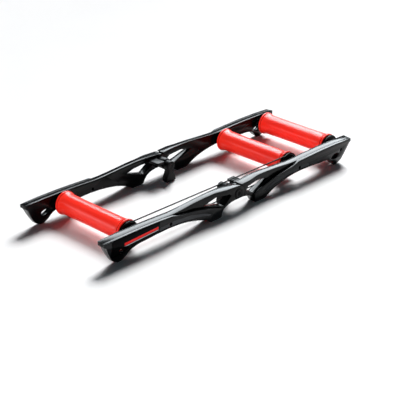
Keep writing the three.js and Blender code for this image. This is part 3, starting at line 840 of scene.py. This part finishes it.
@dataclass
class Drum:
    """One drum: its red shell, black ends, bearings, axle and axle bolts."""

    bench: Bench
    finishes: Finishes
    name: str
    body: Body
    carrier: Body
    rim_radius: float = 0.0488
    rim_width: float = 0.007
    rim_step: float = 0.0018
    rim_line: tuple[Pair, ...] = (
        (0.0016, 0.0), (0.0006, 0.0005), (0.0001, 0.0018),
        (0.0, 0.0035), (0.0002, 0.0052), (0.0007, 0.0064),
    )
    groove_width: float = 0.0036
    groove_depth: float = 0.003
    groove_walls: Pair = (0.0003, 0.0012)
    barrel_end: float = 0.0432
    barrel_middle: float = 0.042
    barrel_steps: int = 9
    flare_length: float = 0.03
    flare_power: float = 2.4
    flare_steps: int = 14
    bore: float = 0.0391
    inner_radius: float = 0.0385
    end_wall: float = 0.014
    end_gap: float = 0.0003
    plug_radius: float = 0.0388
    bearing_seat: float = 0.0143
    bearing_bore: float = 0.0063
    bearing_room: float = 0.0086
    axle_room: float = 0.0068
    belt_radius: float = 0.00275
    belt_play: float = 0.0003
    pitch_radius: float = 0.035
    belt_inset: float = 0.006
    groove_mouth: float = 0.0018
    flange_width: float = 0.0045
    collar_radius: float = 0.0435
    hub_radius: float = 0.019
    hub_round: float = 0.0014
    hub_corner: float = 0.0008
    dish_depth: float = 0.003
    dish_line: tuple[Pair, ...] = ((0.0042, 0.0), (0.0052, 0.0008), (0.0078, 0.003))
    end_ring_shares: tuple[float, ...] = (0.8, 0.76, 0.46, 0.42)
    race_width: float = 0.0026
    ring_width: float = 0.0024
    shield_sunk: float = 0.0006
    shell_steps: int = 96
    bearing_steps: int = 64
    rod_steps: int = 48
    axis: Pair = field(init=False)
    near: float = field(init=False)
    far: float = field(init=False)

    def __post_init__(self) -> None:
        """Reads the drum's place from its packed shell."""
        low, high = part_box(f"{self.name}_drum")
        self.axis = ((low.x + high.x) / 2, (low.z + high.z) / 2)
        self.near, self.far = low.y, high.y

    def build(self) -> Piece:
        """Builds every piece of the drum.

        Returns:
            The red shell.
        """
        shell = self._shell()
        self._pulley()
        self._end_cap()
        for side in ("near", "far"):
            self._bearing(side)
            self._bolt(side)
        self._axle()
        return shell

    def _half_profile(self) -> Profile:
        """The outer line of half the shell, as radius and distance from its end."""
        rim, width = self.rim_radius, self.rim_width
        flare_top = rim - self.rim_step
        flare_start, flare_end = width + self.groove_width, width + self.flare_length
        floor, (wall, slope) = flare_top - self.groove_depth, self.groove_walls
        points = [(rim - drop, along) for drop, along in self.rim_line]
        points += [(floor, width + wall), (floor, flare_start - slope)]
        for step in range(self.flare_steps + 1):
            share = step / self.flare_steps
            rise = (1 - share) ** self.flare_power
            radius = self.barrel_end + rise * (flare_top - self.barrel_end)
            points.append((radius, flare_start + share * (flare_end - flare_start)))
        middle = (self.far - self.near) / 2
        for step in range(1, self.barrel_steps):
            share = step / self.barrel_steps
            rise = (1 - share) ** 2
            radius = self.barrel_middle + rise * (self.barrel_end - self.barrel_middle)
            points.append((radius, flare_end + share * (middle - flare_end)))
        return points

    def _turned(
        self, node: str, name: str, profile: Profile, steps: int, finish: Finish, body: Body
    ) -> Piece:
        """Turns a piece round the drum's axis, with both names given without the drum's own."""
        node, name = f"{self.name}_{node}", f"{self.name}_{name}"
        return self.bench.turned(node, name, profile, self.axis, steps, finish, body)

    def _shell(self) -> Piece:
        """Builds the red shell: rims, flares, waisted barrel and the bore inside.

        Returns:
            The shell.
        """
        half = self._half_profile()
        profile = mirrored(half, self.near, self.far)
        profile.insert(len(half), (self.barrel_middle, (self.near + self.far) / 2))
        profile.extend([
            (self.bore, self.far),
            (self.bore, self.far - self.end_wall),
            (self.inner_radius, self.far - self.end_wall),
            (self.inner_radius, self.near + self.end_wall),
            (self.bore, self.near + self.end_wall),
            (self.bore, self.near),
            profile[0],
        ])
        return self._turned(
            "drum", "shell", profile, self.shell_steps, self.finishes.drum, self.body)

    def _pulley(self) -> None:
        """Builds the near end: belt groove, outer flange, dished face and hub."""
        low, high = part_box(f"{self.name}_drum_pulley")
        plane = self.near - self.belt_inset
        half, mouth = self.belt_radius + self.belt_play, self.belt_radius + self.groove_mouth
        floor = self.pitch_radius - self.belt_radius - self.belt_play
        outer = plane - mouth - self.flange_width
        flange, collar, hub = (high.x - low.x) / 2, self.collar_radius, self.hub_radius
        seat, room, plug = self.bearing_seat, self.axle_room, self.plug_radius
        face, inside = self.near - self.end_gap, high.y
        shoulder = inside - self.bearing_room
        round_off, nick, soft, lip, rise, run = 0.0006, 0.0005, 0.0012, 0.0028, 0.0009, 0.0015
        profile = [
            (seat, inside),
            (plug - round_off, inside),
            (plug, inside - round_off),
            (plug, face),
            (collar, face),
            (collar, plane + mouth),
            (floor + rise, plane + half),
            (floor, plane + half - run),
            (floor, plane - half + run),
            (floor + rise, plane - half),
            (flange - nick, plane - mouth),
            (flange, plane - mouth - nick),
            (flange, outer + soft),
            (flange - soft, outer),
            *((flange - inset, outer + depth) for inset, depth in self.dish_line),
            (hub + run, outer + self.dish_depth),
            (hub, outer + self.dish_depth - self.hub_corner),
            (hub, low.y + self.hub_round),
            (hub - self.hub_round, low.y),
            (room + lip + round_off, low.y),
            (room + lip, low.y + soft),
            (room, low.y + soft),
            (room, shoulder),
            (seat, shoulder),
            (seat, inside),
        ]
        finish = self.finishes.drum_end
        self._turned("drum_pulley", "pulley_end", profile, self.shell_steps, finish, self.body)

    def _end_cap(self) -> None:
        """Builds the far end: a plug with a chamfered face and a sunk ring."""
        low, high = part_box(f"{self.name}_drum_end_cap")
        rim, seat, room = (high.x - low.x) / 2, self.bearing_seat, self.axle_room
        face, inside, outer = self.far + self.end_gap, low.y, high.y
        chamfer, sunk, shoulder = 0.0014, 0.0016, inside + self.bearing_room
        lip, wall, floor, hub = (rim * share for share in self.end_ring_shares)
        profile = [
            (seat, inside),
            (self.plug_radius, inside),
            (self.plug_radius, face),
            (rim, face),
            (rim, outer - chamfer),
            (rim - chamfer, outer),
            (lip, outer),
            (wall, outer - sunk),
            (floor, outer - sunk),
            (hub, outer),
            (room, outer),
            (room, shoulder),
            (seat, shoulder),
            (seat, inside),
        ]
        finish = self.finishes.drum_end
        self._turned("drum_end_cap", "far_end", profile, self.shell_steps, finish, self.body)

    def _bearing(self, side: str) -> None:
        """Builds one bearing with its two rings and the shield between them.

        Args:
            side: Which end of the drum it is in.
        """
        low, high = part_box(f"{self.name}_bearing_{side}")
        outer, bore = (high.x - low.x) / 2, self.bearing_bore
        race, ring, sunk = outer - self.race_width, bore + self.ring_width, self.shield_sunk
        half = [(bore, 0.0), (ring, 0.0), (ring, sunk), (race, sunk), (race, 0.0), (outer, 0.0)]
        profile = mirrored(half, low.y, high.y)
        profile.append(profile[0])
        node, name, steps = f"bearing_{side}", f"{side}_ball_bearing", self.bearing_steps
        self._turned(node, name, profile, steps, self.finishes.steel, self.body)

    def _axle(self) -> None:
        """Builds the fixed axle with chamfered ends and a bolt hole in each."""
        low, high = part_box(f"{self.name}_axle")
        radius, hole, depth, chamfer = (high.x - low.x) / 2, 0.0033, 0.012, 0.0008
        half = [
            (0.0, depth), (hole, depth), (hole, 0.0), (radius - chamfer, 0.0), (radius, chamfer)]
        profile, steel = mirrored(half, low.y, high.y), self.finishes.steel
        self._turned("axle", "axle_rod", profile, self.rod_steps, steel, self.carrier)

    def _bolt(self, side: str) -> None:
        """Builds one axle bolt with a round-edged head and a key socket.

        Args:
            side: Which rail it is in.
        """
        place = Place.of(f"{self.name}_axle_bolt_{side}", side)
        tip, top, out, head = place.inner, place.outer, place.out, place.radius
        shank, depth, nick, soft = 0.003, 0.006, 0.0005, 0.0008
        socket, mouth, lip, bottom, point = 0.0029, 0.0031, 0.0003, 0.0032, 0.0042
        profile = [
            (0.0, tip),
            (shank - nick, tip),
            (shank, tip + out * nick),
            (shank, top - out * depth),
            (head, top - out * depth),
            (head, top - out * soft),
            (head - soft, top),
            (mouth, top),
            (socket, top - out * lip),
            (socket, top - out * bottom),
            (0.0, top - out * point),
        ]
        node, name, steel = f"axle_bolt_{side}", f"{side}_bolt", self.finishes.steel
        self._turned(node, name, profile, self.rod_steps, steel, self.carrier)


@dataclass
class Belt:
    """The round drive belt, one closed loop from the front pulley to the middle one."""

    bench: Bench
    finishes: Finishes
    section: float = 0.00275
    section_steps: int = 3
    turn_steps: int = 72
    straight_cuts: int = 90
    smooth_angle: float = 60.0
    tolerance: float = 0.00001
    fold_start: float = 0.05
    fold_end: float = -0.042

    def build(self) -> None:
        """Builds the belt."""
        low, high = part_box("drive_belt")
        radius = (high.z - low.z) / 2 - self.section
        centre = (low + high) / 2
        reach = high.x - low.x - 2 * (radius + self.section)
        self.bench.deselect()
        bpy.ops.mesh.primitive_circle_add(
            vertices=self.turn_steps,
            radius=radius,
            location=(centre.x - reach / 2, centre.y, centre.z),
            rotation=(math.pi / 2, 0.0, 0.0),
        )
        piece = bpy.context.active_object
        piece.name = "round_belt"
        bpy.ops.object.transform_apply()
        self._draw_out(piece, centre.x, reach)
        self._thicken(piece)
        piece.data.materials.append(self.finishes.belt.material)
        self.bench.shade(piece, self.smooth_angle)
        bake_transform(piece)
        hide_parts("drive_belt")
        log.info("%s: %d faces", piece.name, len(piece.data.polygons))

    def _draw_out(self, piece: Piece, centre: float, reach: float) -> None:
        """Splits the circle at its top and bottom and draws it out into a long loop.

        Args:
            piece: The circle.
            centre: The loop's middle along X.
            reach: The distance between the pulleys' axes.
        """
        start = centre - reach / 2
        mesh = piece.data
        for vertex in mesh.vertices:
            vertex.select = vertex.co.x > start + self.tolerance
        for edge in mesh.edges:
            first, second = (mesh.vertices[index] for index in edge.vertices)
            edge.select = first.select and second.select
        self.bench.activate(piece)
        bpy.ops.object.mode_set(mode="EDIT")
        bpy.ops.transform.translate(value=(reach, 0.0, 0.0))
        bpy.ops.object.mode_set(mode="OBJECT")
        for edge in mesh.edges:
            first, second = (mesh.vertices[index].co for index in edge.vertices)
            edge.select = (first - second).length > reach / 2
        bpy.ops.object.mode_set(mode="EDIT")
        bpy.ops.mesh.select_mode(type="EDGE")
        bpy.ops.mesh.subdivide(number_cuts=self.straight_cuts)
        bpy.ops.mesh.select_mode(type="VERT")
        bpy.ops.object.mode_set(mode="OBJECT")

    def _thicken(self, piece: Piece) -> None:
        """Gives the loop its round section.

        Args:
            piece: The loop of edges, which becomes a tube.
        """
        self.bench.activate(piece)
        bpy.ops.object.convert(target="CURVE")
        piece.data.dimensions = "3D"
        piece.data.bevel_depth = self.section
        piece.data.bevel_resolution = self.section_steps
        bpy.ops.object.convert(target="MESH")


@dataclass(frozen=True)
class Softbox:
    """One softbox: where it hangs, which way it faces, its width and height, and its watts."""

    name: str
    place: Triple
    aim: Triple
    size: Pair
    power: float


@dataclass
class Studio:
    """The white floor, the soft lights and the camera."""

    floor_size: float = 70.0
    floor_dark: Colour = colour(0.86, 0.86, 0.865)
    floor_pale: Colour = colour(0.88, 0.88, 0.88)
    backdrop_radius: float = 34.0
    backdrop_faces: tuple[int, int] = (48, 24)
    eye: Triple = (-3.3857, -3.3798, 2.2312)
    right: Triple = (0.70328, -0.71091, 0.0)
    down: Triple = (-0.30450, -0.30124, -0.90362)
    ahead: Triple = (0.64240, 0.63550, -0.42833)
    lens: float = 116.58
    sensor: float = 36.0
    sight: float = 100.0
    fill: float = 0.055
    fill_tint: Colour = colour(0.72, 0.9, 1.0)
    softbox_tint: Triple = (0.9, 0.96, 1.0)
    softboxes: tuple[Softbox, ...] = (
        Softbox(
            "top_softbox", place=(3.3, 1.7, 2.3), aim=(0.0, 0.0, -1.0), size=(5.4, 2.7),
            power=760.0),
        Softbox(
            "side_softbox", place=(-3.4, 2.8, 0.75), aim=(3.4, -2.8, -0.75), size=(2.4, 1.0),
            power=36.0),
    )
    key_from: Triple = (1.09, 0.65, 1.1)
    key_power: float = 5.4
    key_spread: float = 24.0
    past_share: float = 0.3
    flagged_from: Triple = (-1.0, -0.5, 0.6)
    flagged_power: float = 2.4
    flagged_spread: float = 60.0

    def build(self) -> None:
        """Builds the whole studio."""
        bpy.context.scene.view_settings.view_transform = "Standard"
        self._camera()
        self._floor()
        self._backdrop()
        self._world()
        power = self.key_power * (1 - self.past_share)
        self._sun("key_light", self.key_from, power, self.key_spread)
        for box in self.softboxes:
            self._lamp(box)

    def _camera(self) -> None:
        """Places the camera as the photograph was taken."""
        data = bpy.data.cameras.new("camera")
        data.lens = self.lens
        data.sensor_width = self.sensor
        data.clip_end = self.sight
        camera = bpy.data.objects.new("camera", data)
        bpy.context.scene.collection.objects.link(camera)
        right, down, ahead = Vector(self.right), Vector(self.down), Vector(self.ahead)
        turn = Matrix((right, -down, -ahead)).transposed().to_4x4()
        camera.matrix_world = Matrix.Translation(Vector(self.eye)) @ turn
        bpy.context.scene.camera = camera

    def _floor(self) -> None:
        """Lays the white, slightly glossy floor."""
        bpy.ops.mesh.primitive_plane_add(size=self.floor_size)
        floor = bpy.context.active_object
        floor.name = "studio_floor"
        recipe = Recipe("studio_white")
        haze = recipe.noise(scale=3.0, detail=2.0)
        recipe.feed({
            "Base Color": recipe.blend(haze, self.floor_dark, self.floor_pale),
            "Roughness": haze * 0.1 + 0.3,
            "Specular IOR Level": 0.03,
        })
        floor.data.materials.append(recipe.material)

    def _backdrop(self) -> None:
        """Hangs a white backdrop all round, which is seen but gives no light and no shadow."""
        segments, rings = self.backdrop_faces
        bpy.ops.mesh.primitive_uv_sphere_add(
            segments=segments, ring_count=rings, radius=self.backdrop_radius)
        backdrop = bpy.context.active_object
        backdrop.name = "studio_backdrop"
        recipe = Recipe("backdrop_white")
        white = colour(1.0, 1.0, 1.0)
        recipe.feed({"Base Color": white, "Emission Color": white, "Emission Strength": 1.0})
        backdrop.data.materials.append(recipe.material)
        backdrop.visible_diffuse = backdrop.visible_glossy = backdrop.visible_shadow = False

    def _world(self) -> None:
        """Fills the surroundings with even cool light."""
        world = bpy.data.worlds.new("studio_world")
        world.use_nodes = True
        background = world.node_tree.nodes["Background"]
        background.inputs["Color"].default_value = self.fill_tint
        background.inputs["Strength"].default_value = self.fill
        bpy.context.scene.world = world

    def light_only(self, pieces: list[Piece]) -> None:
        """Lights some pieces alone from the viewer's side, as a studio lamp behind flags does.

        Args:
            pieces: The pieces that the light reaches.
        """
        reached = bpy.data.collections.new("flagged_light")
        for piece in pieces:
            reached.objects.link(piece)
        lamp = self._sun(
            "flagged_light", self.flagged_from, self.flagged_power, self.flagged_spread)
        lamp.light_linking.receiver_collection = reached

    def shine_past(self, pieces: list[Piece]) -> None:
        """Lets the rest of the key light past these pieces, so that their shadow stays pale.

        Args:
            pieces: The pieces that this light passes.
        """
        passed = bpy.data.collections.new("passed_light")
        for piece in pieces:
            passed.objects.link(piece)
        for entry in passed.collection_objects:
            entry.light_linking.link_state = "EXCLUDE"
        power = self.key_power * self.past_share
        lamp = self._sun("past_light", self.key_from, power, self.key_spread)
        lamp.light_linking.blocker_collection = passed

    def _sun(self, name: str, origin: Triple, power: float, spread: float) -> Piece:
        """Hangs one broad far light, which gives soft shadows and no reflection of itself.

        Args:
            name: The light's name.
            origin: The direction that it comes from.
            power: Its strength.
            spread: How wide it looks from the object, in degrees.

        Returns:
            The light.
        """
        data = bpy.data.lights.new(name, "SUN")
        data.energy = power
        data.angle = math.radians(spread)
        lamp = bpy.data.objects.new(name, data)
        bpy.context.scene.collection.objects.link(lamp)
        lamp.rotation_euler = (-Vector(origin)).to_track_quat("-Z", "Y").to_euler()
        lamp.visible_glossy = False
        return lamp

    def _lamp(self, box: Softbox) -> None:
        """Hangs one softbox, which is seen in gloss and gives no other light.

        Args:
            box: The softbox.
        """
        data = bpy.data.lights.new(box.name, "AREA")
        data.shape = "RECTANGLE"
        data.size, data.size_y = box.size
        data.energy = box.power
        data.color = self.softbox_tint
        lamp = bpy.data.objects.new(box.name, data)
        bpy.context.scene.collection.objects.link(lamp)
        lamp.location = box.place
        lamp.rotation_euler = Vector(box.aim).to_track_quat("-Z", "Y").to_euler()
        lamp.visible_diffuse = False


def main() -> None:
    """Builds the studio and every sub-assembly."""
    logging.basicConfig(level=logging.INFO, format="%(message)s")
    studio = Studio()
    studio.build()
    bench, finishes = Bench(), Finishes()
    striped_cover = Rails(bench, finishes).build()
    Hinges(bench, finishes).build()
    drums = (
        ("front", Body.FRONT_DRUM, Body.FRONT),
        ("middle", Body.MIDDLE_DRUM, Body.REAR),
        ("rear", Body.REAR_DRUM, Body.REAR),
    )
    shells = [Drum(bench, finishes, *drum).build() for drum in drums]
    studio.light_only([*shells, striped_cover])
    studio.shine_past(shells)
    Belt(bench, finishes).build()
    bench.deselect()


if __name__ == "__main__":
    main()
